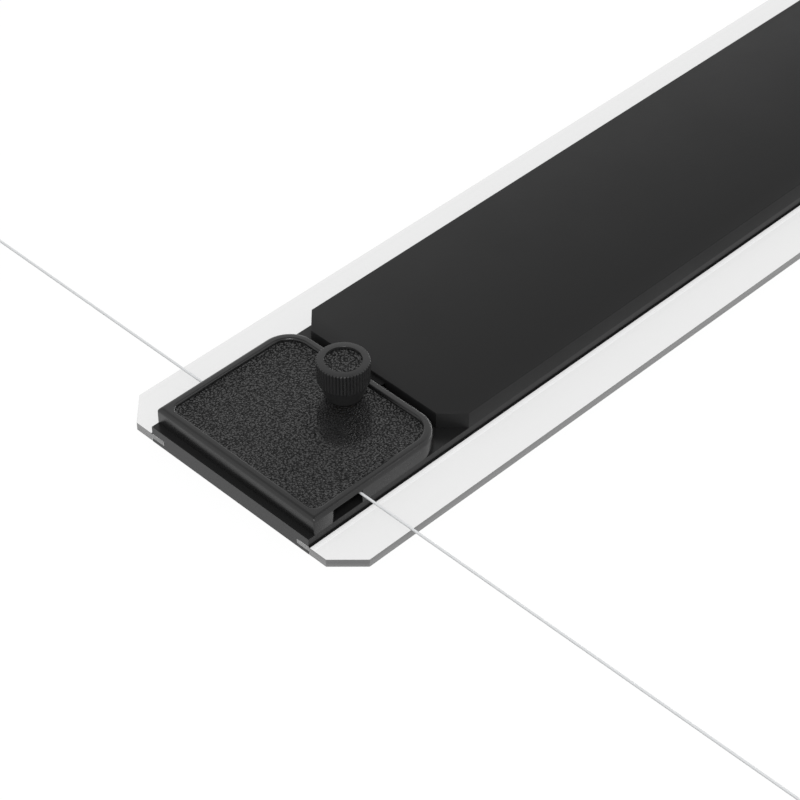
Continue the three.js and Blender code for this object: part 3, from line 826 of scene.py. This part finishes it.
class STRAIGHTEDGE_OT_blade(bpy.types.Operator):
    """Add the clear edges and the black strips painted as the contact shadow at the core's foot, and finish
    the core board
    """

    bl_idname = "straightedge.blade"
    bl_label = "Blade"

    def clear_edge(self, name):
        """One long clear strip: a milled rim, cut corners, and a tongue that enters the core."""
        core_gap, tongue_thickness, round_edge = 0.1 * MM, 1.8 * MM, 0.12 * MM
        strip_angle = 25
        shoulder = CORE_HIGH.y + core_gap
        tongue_floor = EDGE_HIGH.z - tongue_thickness
        strip = add_block(name, (EDGE_LOW.x, shoulder, EDGE_LOW.z), EDGE_HIGH)
        with editing(strip):
            bpy.ops.mesh.select_all(action="SELECT")
            bpy.ops.mesh.bisect(plane_co=(0, 0, tongue_floor), plane_no=(0, 0, 1))
            pick_faces(strip, lambda middle, normal: near(middle.y, shoulder) and middle.z > tongue_floor)
            extrude((0, EDGE_LOW.y - shoulder, 0))
            pick_edges(strip, lambda a, b: upright(a, b) and near(a.y, EDGE_HIGH.y))
            bevel_edges(sizes().acrylic_corner_cut, 1)
        soften(strip, round_edge)
        for face in strip.data.polygons:
            centre, normal = face.center, face.normal
            beside_core = abs(centre.y - shoulder) < round_edge and centre.z < tongue_floor + round_edge
            on_tongue_floor = abs(centre.z - tongue_floor) < round_edge and centre.y < shoulder
            # Faces beside the core and under the tongue get the frosted finish with its painted glow
            if abs(normal.x) < LEANING and (beside_core or on_tongue_floor):
                face.material_index = 2
            elif abs(normal.z) < LEANING and normal.y > -LEANING:
                face.material_index = 1
        smooth(strip, strip_angle)
        return strip

    def sealing_line(self, name):
        # A thin black strip on the acrylic along the core's foot: painted contact shadow, not a real seal
        thickness = 0.1 * MM
        edge, edge_steps = 0.8 * thickness, 2
        outer, top = CORE_HIGH.y + sizes().shadow_line_width, EDGE_HIGH.z + thickness
        line = add_block(name, (CORE_LOW.x, CORE_HIGH.y - thickness, EDGE_HIGH.z), (CORE_HIGH.x, outer, top))
        with editing(line):
            pick_edges(line, lambda a, b: near(a.y, outer) and near(b.y, outer)
                       and near(a.z, top) and near(b.z, top))
            bevel_edges(edge, edge_steps)
        smooth(line)
        return line

    def execute(self, context):
        skins = ["clear_acrylic", "sawn_acrylic", "bonded_acrylic"]
        rear = self.clear_edge("rear_acrylic_edge")
        front = turned_copy(rear, "front_acrylic_edge")
        dress(rear, skins, "blade", "clear_acrylic", "rear_clear_edge")
        dress(front, skins, "blade", "clear_acrylic", "front_clear_edge")
        # Black strips painted as the contact shadow along the core's foot, rear and front
        rear_line = self.sealing_line("rear_sealing_line")
        front_line = turned_copy(rear_line, "front_sealing_line")
        for line in (rear_line, front_line):
            dress(line, ["seam_black"], "blade", "core_black")
        repaint("core_board", "core_laminate")
        return {"FINISHED"}


class STRAIGHTEDGE_OT_cover(bpy.types.Operator):
    """Add the centre cover, and finish what lies under it"""

    bl_idname = "straightedge.cover"
    bl_label = "Centre cover"

    wall = 2 * MM
    roof = 1.25 * MM
    top_edge = 0.22 * MM
    top_edge_steps = 3
    lip_room = 1.5 * MM
    lip_length = 1.8 * MM
    lip_thickness = 0.35 * MM

    def execute(self, context):
        half = COVER_HIGH.x - self.lip_room
        cover = add_block("long_cover", (-half, COVER_LOW.y, COVER_LOW.z), (half, COVER_HIGH.y, COVER_HIGH.z))
        with editing(cover):
            pick_edges(cover, upright)
            bevel_edges(sizes().cover_corner_cut, 1)
            pick_faces(cover, lambda middle, normal: normal.z < -SQUARE)
            bpy.ops.mesh.inset(thickness=self.wall, depth=0)
            extrude((0, 0, COVER_HIGH.z - self.roof - COVER_LOW.z))
        slot_top = COVER_LOW.z + SLOT_HEIGHT
        carve(cover, add_block("slot", (COVER_LOW.x - REACH, -SLOT_HALF, COVER_LOW.z - REACH),
                               (COVER_HIGH.x + REACH, SLOT_HALF, slot_top)))
        with editing(cover):
            pick_edges(cover, lambda a, b: near(a.z, COVER_HIGH.z) and near(b.z, COVER_HIGH.z))
            bevel_edges(self.top_edge, self.top_edge_steps)
        for side in (-1, 1):
            tip, root = side * (half + self.lip_length), side * (half - self.wall / 2)
            lip = add_block("lip", (min(tip, root), -SLOT_HALF, slot_top),
                            (max(tip, root), SLOT_HALF, slot_top + self.lip_thickness))
            carve(cover, lip, "UNION")
        # The lip tips beyond the cover's ends get the dull black painted as the shade in the gap
        for face in cover.data.polygons:
            if abs(face.center.x) > half + SAME_PLACE:
                face.material_index = 1
        smooth(cover)
        dress(cover, ["cover_satin", "seam_black"], "blade", "cover_black", "centre_cover")
        repaint("wire_bridge", "natural_nylon")
        for node in ("inner_wire_over", "inner_wire_under"):
            repaint(node, "coated_wire")
        return {"FINISHED"}


class STRAIGHTEDGE_OT_caps(bpy.types.Operator):
    """Add the two end caps"""

    bl_idname = "straightedge.caps"
    bl_label = "End caps"

    door_offset = 11.4 * MM
    door_length = 10.9 * MM
    door_height = 4.85 * MM
    door_start = CORE_LOW.x + door_offset
    door_top = CORE_TOP + door_height
    roof = 0.4 * MM

    def rounded_block(self, name, low, high, near_corner, far_corner):
        """A block with one plan radius at its -X corners, which may be nothing, and one at its +X ones."""
        near_steps, far_steps = 6, 14
        block = add_block(name, low, high)
        with editing(block):
            for x, radius, steps in ((low[0], near_corner, near_steps), (high[0], far_corner, far_steps)):
                if radius:
                    pick_edges(block, lambda a, b: upright(a, b) and near(a.x, x))
                    bevel_edges(radius, steps)
        return block

    def recess(self, low, high, panel):
        """The sunken panel's room as a cutter, flared at its top so that it leaves a rounded lip."""
        lip, lip_steps = 0.75 * MM, 5
        near_inset, inset = 3.15 * MM, 3.2 * MM
        near_corner, far_corner = 2.8 * MM, 7.3 * MM
        cutter = self.rounded_block(
            "recess", (low.x + (near_inset - lip), low.y + (inset - lip), high.z),
            (high.x - (inset - lip), high.y - (inset - lip), high.z + lip),
            near_corner + lip, far_corner + lip)
        with editing(cutter):
            pick_faces(cutter, lambda middle, normal: normal.z < -SQUARE)
            for i in range(lip_steps):
                turn, onward = (math.pi / 2 * step / lip_steps for step in (i, i + 1))
                bpy.ops.mesh.inset(thickness=lip * (math.sin(onward) - math.sin(turn)),
                                   depth=lip * (math.cos(turn) - math.cos(onward)))
            extrude((0, 0, panel - high.z + lip))
        return cutter

    def jamb(self, side):
        """The slanted lead-in beside a door, as a cutter."""
        depth, width = 0.9 * MM, 1.5 * MM
        wall = side * CORE_HIGH.y
        inner, outer = wall - side * depth, wall + side * REACH
        wedge = add_block("jamb", (self.door_start - width, min(inner, outer), CORE_TOP - REACH),
                          (self.door_start + depth, max(inner, outer), self.door_top))
        with editing(wedge):
            for y, shift in ((inner, width), (outer, -REACH * width / depth)):
                pick_points(wedge, lambda p: near(p.y, y) and p.x < self.door_start)
                bpy.ops.transform.translate(value=(shift, 0, 0))
        return wedge

    def outside(self, name, low, high):
        """The cap as a full block with its rolled rim and its softened square corners."""
        s = sizes()
        rim_steps, corner_steps, mitre_room = 8, 4, 1.01
        shell = self.rounded_block(name, low, high, 0, s.cap_far_corner)

        def on_mitre(p):
            return near(p.x - low.x, high.y - abs(p.y)) and p.x < low.x + mitre_room * s.cap_rim

        with editing(shell):
            pick_edges(shell, lambda a, b: near(a.z, high.z) and near(b.z, high.z))
            bevel_edges(s.cap_rim, rim_steps)
            pick_edges(shell, lambda a, b: on_mitre(a) and on_mitre(b) and abs(a.y - b.y) < s.cap_rim)
            bevel_edges(s.cap_near_corner, corner_steps)
        return shell

    def hollow_out(self, shell, low, high, ceiling):
        """Cuts the cap's room, its two doors with their jambs, and the slot towards the cover."""
        s = sizes()
        wall, inner_corner = s.cap_wall, 0.5 * MM
        carve(shell, self.rounded_block(
            "hollow", (low.x + wall, low.y + wall, low.z - REACH), (high.x - wall, high.y - wall, ceiling),
            inner_corner, s.cap_far_corner - wall))
        for side in (-1, 1):
            span = sorted((side * (high.y + REACH), side * (high.y - wall - REACH)))
            carve(shell, add_block("door", (self.door_start, span[0], low.z - REACH),
                                   (self.door_start + self.door_length, span[1], self.door_top)))
            carve(shell, self.jamb(side))
        carve(shell, add_block("slot", (high.x - wall - REACH, -SLOT_HALF, low.z - REACH),
                               (high.x + REACH, SLOT_HALF, low.z + SLOT_HEIGHT)))

    def fit_out(self, shell, low, high, ceiling):
        """Bores the brake bush's hole and adds the two screw bosses under the roof."""
        bush_radius, bush_sides = 3.5 * MM, 48
        boss_inset, boss_offset, boss_radius, boss_rise = 52 * MM, 24 * MM, 2.8 * MM, 0.3 * MM
        bore_radius, bore_depth, boss_sides = 1.3 * MM, 3.8 * MM, 24
        knob = (KNOB_LOW + KNOB_HIGH) / 2
        bush = [(bush_radius, ceiling - REACH), (bush_radius, high.z + REACH)]
        boss = [(boss_radius, low.z), (boss_radius, ceiling + boss_rise)]
        bore = [(bore_radius, low.z - REACH), (bore_radius, low.z + bore_depth)]
        carve(shell, add_turned("bush_hole", bush, bush_sides, (knob.x, knob.y, 0)))
        for side in (-1, 1):
            place = (CORE_LOW.x + boss_inset, side * boss_offset, 0)
            carve(shell, add_turned("boss", boss, boss_sides, place), "UNION")
            carve(shell, add_turned("boss_hole", bore, boss_sides, place))

    def cap(self, name):
        low, high = Vector((CAP_LOW.x, CAP_LOW.y, CORE_TOP)), CAP_HIGH
        panel = high.z - sizes().panel_depth
        ceiling = panel - self.roof
        shell = self.outside(name, low, high)
        carve(shell, self.recess(low, high, panel))
        self.hollow_out(shell, low, high, ceiling)
        self.fit_out(shell, low, high, ceiling)
        for face in shell.data.polygons:
            if face.normal.z > SQUARE and near(face.center.z, panel):
                face.material_index = 1
        smooth(shell)
        return shell

    def execute(self, context):
        skins = ["gloss_black", "grained_black"]
        shell = self.cap("near_cap_shell")
        twin = turned_copy(shell, "far_cap_shell")
        dress(shell, skins, "blade", "cap_black", "near_end_cap")
        dress(twin, skins, "blade", "cap_black", "far_end_cap")
        return {"FINISHED"}


class STRAIGHTEDGE_OT_knobs(bpy.types.Operator):
    """Add the two brake knobs, and finish the brakes"""

    bl_idname = "straightedge.knobs"
    bl_label = "Brake knobs"

    sides_per_knurl = 4
    knurl_angle = 22

    def profile(self, foot, top, radius, dish_floor):
        """The knob's rings from its foot up to its rim and down into its dish."""
        stud_radius, foot_radius, dish_radius = 2.1 * MM, 5.9 * MM, 5.9 * MM
        taper, chamfer = 6.1 * MM, 0.35 * MM
        foot_edge, floor_edge, dish_edge = 0.1 * MM, 0.1 * MM, 0.08 * MM
        rim_drop, rim_run = 0.02 * MM, 0.05 * MM
        return [
            (stud_radius, foot),
            (foot_radius - chamfer, foot),
            (foot_radius - foot_edge, foot + foot_edge),
            (foot_radius, foot + chamfer),
            (radius - sizes().knurl_depth, foot + taper),
            (radius, foot + taper + chamfer),
            (radius, top - chamfer),
            (radius - chamfer, top - rim_drop),
            (radius - chamfer - rim_run, top),
            (dish_radius + dish_edge, top),
            (dish_radius, top - dish_edge),
            (dish_radius, dish_floor),
            (dish_radius - floor_edge, dish_floor),
        ]

    def knob(self, name):
        s = sizes()
        radius, dish_depth = 8.3 * MM, 0.7 * MM
        middle = (KNOB_LOW + KNOB_HIGH) / 2
        dish_floor = KNOB_HIGH.z - dish_depth
        profile = self.profile(KNOB_LOW.z, KNOB_HIGH.z, radius, dish_floor)
        sides = self.sides_per_knurl * s.knurl_count
        piece = add_turned(name, profile, sides, (middle.x, middle.y, 0))

        def in_groove(point):
            across, along = point.x - middle.x, point.y - middle.y
            turn = round(math.atan2(along, across) * sides / (2 * math.pi))
            return turn % self.sides_per_knurl == 0 and near(math.hypot(across, along), radius)

        groove = (radius - s.knurl_depth) / radius
        with editing(piece):
            pick_points(piece, in_groove)
            bpy.ops.transform.resize(value=(groove, groove, 1), center_override=(middle.x, middle.y, 0))
        for face in piece.data.polygons:
            if face.normal.z > SQUARE and near(face.center.z, dish_floor):
                face.material_index = 1
        smooth(piece, self.knurl_angle)
        return piece

    def execute(self, context):
        skins = ["knob_black", "grained_black"]
        knob = self.knob("near_knob")
        twin = turned_copy(knob, "far_knob")
        dress(knob, skins, "near_knob", "knob_black", "near_brake_knob")
        dress(twin, skins, "far_knob", "knob_black", "far_brake_knob")
        for end in ("near", "far"):
            repaint(f"{end}_brake_stud", "plated_steel")
            repaint(f"{end}_brake_bush", "turned_brass")
            repaint(f"{end}_brake_shoe", "brake_rubber")
        return {"FINISHED"}


class STRAIGHTEDGE_OT_underside(bpy.types.Operator):
    """Add the glide pads and the cap screws"""

    bl_idname = "straightedge.underside"
    bl_label = "Glide pads and screws"

    def pad(self, name, node):
        edge, edge_bulge, sides = 0.25 * MM, 0.07 * MM, 48
        low, high = corners(node)
        middle = (low + high) / 2
        radius = (high.x - low.x) / 2
        profile = [(radius - edge, 0), (radius - edge_bulge, edge_bulge), (radius, edge), (radius, high.z)]
        piece = add_turned(name, profile, sides, (middle.x, middle.y, 0))
        smooth(piece)
        return dress(piece, ["natural_nylon"], "blade", "white_nylon", node)

    def screw(self, name, node):
        """A countersunk screw, head down, with a cross recess."""
        head, shank, head_height, edge, sides = 2.68 * MM, 1.2 * MM, 1.5 * MM, 0.12 * MM, 32
        length, width, depth = 1.5 * MM, 0.28 * MM, 0.9 * MM
        low, high = corners(node)
        middle = (low + high) / 2
        profile = [(head - edge, low.z), (head, low.z + edge), (shank, low.z + head_height),
                   (shank, high.z - edge), (shank - edge, high.z)]
        piece = add_turned(name, profile, sides, (middle.x, middle.y, 0))
        for x, y in ((length, width), (width, length)):
            carve(piece, add_block("cross", (middle.x - x, middle.y - y, low.z - depth),
                                   (middle.x + x, middle.y + y, low.z + depth)))
        smooth(piece)
        return dress(piece, ["plated_steel"], "blade", "steel", node)

    def execute(self, context):
        for end in ("near", "far"):
            for label in ("rear", "front"):
                self.pad(f"{end}_{label}_pad", f"{end}_{label}_glide_pad")
                self.screw(f"{end}_{label}_screw", f"{end}_{label}_cap_screw")
        return {"FINISHED"}


class STRAIGHTEDGE_OT_pulleys(bpy.types.Operator):
    """Finish the pulleys, bearings, axles and their plates"""

    bl_idname = "straightedge.pulleys"
    bl_label = "Pulleys"

    def execute(self, context):
        for end in ("near", "far"):
            repaint(f"{end}_pulley_plate", "plated_steel")
            for label in ("rear", "front"):
                repaint(f"{end}_{label}_pulley", "natural_nylon")
                repaint(f"{end}_{label}_axle", "plated_steel")
                for ring in ("bearing_outer_ring", "bearing_inner_ring", "ball_ring"):
                    repaint(f"{end}_{label}_{ring}", "ground_steel")
        return {"FINISHED"}


class STRAIGHTEDGE_OT_stage(bpy.types.Operator):
    """Add the white floor, the even world and the lamps"""

    bl_idname = "straightedge.stage"
    bl_label = "Stage and light"

    # Heights of a reflected direction between which the ceiling dims
    ceiling_starts = 0.7
    ceiling_full = 0.86

    # The lamps' distance, their directions from the near end, and their sizes in metres
    lamp_distance = 1.6
    softbox_from = (-0.47, -0.47, 0.85)
    side_strip_from = (0.53, -0.32, 0.79)
    side_strip_size = (0.35, 0.2)
    low_strip_from = (0.98, 0, 0.13)
    low_strip_size = (1.8, 0.14)

    def seen_directly(self, nodes, links):
        """1 where a ray comes from the camera, from gloss or through the acrylic, else 0."""
        path = nodes.new("ShaderNodeLightPath")
        shiny = math_node(
            nodes, links, "MAXIMUM", path.outputs["Is Camera Ray"], path.outputs["Is Glossy Ray"])
        return math_node(nodes, links, "MAXIMUM", shiny, path.outputs["Is Transmission Ray"])

    def floor(self, stage):
        """A pale floor that is white where it is seen, and open from below."""
        deselect_all()
        bpy.ops.mesh.primitive_plane_add(size=stage.floor_size, location=(0, 0, 0))
        floor = named("floor")
        material = bpy.data.materials.new("White floor")
        material.use_nodes = True
        nodes, links = material.node_tree.nodes, material.node_tree.links
        nodes.remove(nodes["Principled BSDF"])
        paper = nodes.new("ShaderNodeBsdfDiffuse")
        paper.inputs["Color"].default_value = (stage.floor_shade, stage.floor_shade, stage.floor_shade, 1)
        glow = nodes.new("ShaderNodeEmission")
        level = math_node(nodes, links, "MULTIPLY", self.seen_directly(nodes, links), stage.floor_glow)
        links.new(level, glow.inputs["Strength"])
        both = nodes.new("ShaderNodeAddShader")
        links.new(paper.outputs[0], both.inputs[0])
        links.new(glow.outputs[0], both.inputs[1])
        side = nodes.new("ShaderNodeNewGeometry")
        from_below = nodes.new("ShaderNodeMixShader")
        links.new(side.outputs["Backfacing"], from_below.inputs["Fac"])
        links.new(both.outputs[0], from_below.inputs[1])
        links.new(nodes.new("ShaderNodeBsdfTransparent").outputs[0], from_below.inputs[2])
        links.new(from_below.outputs[0], nodes["Material Output"].inputs["Surface"])
        floor.data.materials.append(material)

    def world(self, stage):
        """Even light from all round; what gloss shows of it dims overhead, as under a studio's ceiling."""
        world = bpy.data.worlds.new("White studio")
        bpy.context.scene.world = world
        world.use_nodes = True
        nodes, links = world.node_tree.nodes, world.node_tree.links
        background = nodes["Background"]
        lit = remap(nodes, links, self.seen_directly(nodes, links), 0, 1, stage.world_level, 1)
        towards = nodes.new("ShaderNodeTexCoord")
        apart = nodes.new("ShaderNodeSeparateXYZ")
        links.new(towards.outputs["Generated"], apart.inputs[0])
        ceiling = remap(
            nodes, links, apart.outputs["Z"], self.ceiling_starts, self.ceiling_full, 1, stage.ceiling_level)
        path = nodes.new("ShaderNodeLightPath")
        dimmed = remap(nodes, links, path.outputs["Is Glossy Ray"], 0, 1, 1, ceiling)
        links.new(math_node(nodes, links, "MULTIPLY", lit, dimmed), background.inputs["Strength"])
        background.inputs["Color"].default_value = (1, 1, 1, 1)

    def lamp(self, name, towards, size, power):
        """A rectangular lamp that faces the near end from the given direction."""
        target = Vector((CORE_LOW.x, 0, 0))
        place = target + self.lamp_distance * Vector(towards).normalized()
        deselect_all()
        bpy.ops.object.light_add(type="AREA", location=place)
        lamp = bpy.context.object
        lamp.name = name
        lamp.data.shape = "RECTANGLE"
        lamp.data.size, lamp.data.size_y = size
        lamp.data.energy = power
        lamp.rotation_euler = (target - place).to_track_quat("-Z", "Y").to_euler()

    def execute(self, context):
        stage = context.scene.straightedge_stage
        softbox_size = (stage.softbox_size, stage.softbox_size)
        self.floor(stage)
        self.world(stage)
        self.lamp("softbox", self.softbox_from, softbox_size, stage.softbox_power)
        self.lamp("side_strip", self.side_strip_from, self.side_strip_size, stage.side_strip_power)
        self.lamp("low_strip", self.low_strip_from, self.low_strip_size, stage.low_strip_power)
        context.scene.view_settings.view_transform = "Standard"
        return {"FINISHED"}


OPERATORS = (
    STRAIGHTEDGE_OT_camera,
    STRAIGHTEDGE_OT_groups,
    STRAIGHTEDGE_OT_wires,
    STRAIGHTEDGE_OT_blade,
    STRAIGHTEDGE_OT_cover,
    STRAIGHTEDGE_OT_caps,
    STRAIGHTEDGE_OT_knobs,
    STRAIGHTEDGE_OT_underside,
    STRAIGHTEDGE_OT_pulleys,
    STRAIGHTEDGE_OT_stage,
)


class STRAIGHTEDGE_PT_panel(bpy.types.Panel):
    """The straightedge's pieces, sizes and finishes"""

    bl_idname = "STRAIGHTEDGE_PT_panel"
    bl_label = "Parallel Straightedge"
    bl_space_type = "VIEW_3D"
    bl_region_type = "UI"
    bl_category = "Straightedge"

    def draw(self, context):
        for operator in OPERATORS:
            self.layout.operator(operator.bl_idname)
        for settings in SETTINGS:
            box = self.layout.box()
            group = getattr(context.scene, settings)
            for label in group.__annotations__:
                box.prop(group, label)


SETTINGS = {
    "straightedge_sizes": StraightedgeSizes,
    "straightedge_finishes": StraightedgeFinishes,
    "straightedge_stage": StraightedgeStage,
}


def register():
    for name, group in SETTINGS.items():
        bpy.utils.register_class(group)
        setattr(bpy.types.Scene, name, PointerProperty(type=group))
    for operator in OPERATORS:
        bpy.utils.register_class(operator)
    bpy.utils.register_class(STRAIGHTEDGE_PT_panel)


def unregister():
    bpy.utils.unregister_class(STRAIGHTEDGE_PT_panel)
    for operator in reversed(OPERATORS):
        bpy.utils.unregister_class(operator)
    for name, group in SETTINGS.items():
        delattr(bpy.types.Scene, name)
        bpy.utils.unregister_class(group)


def main():
    register()
    bpy.ops.straightedge.camera()
    bpy.ops.straightedge.groups()
    bpy.ops.straightedge.wires()
    bpy.ops.straightedge.blade()
    bpy.ops.straightedge.cover()
    bpy.ops.straightedge.caps()
    bpy.ops.straightedge.knobs()
    bpy.ops.straightedge.underside()
    bpy.ops.straightedge.pulleys()
    bpy.ops.straightedge.stage()
    deselect_all()


if __name__ == "__main__":
    main()
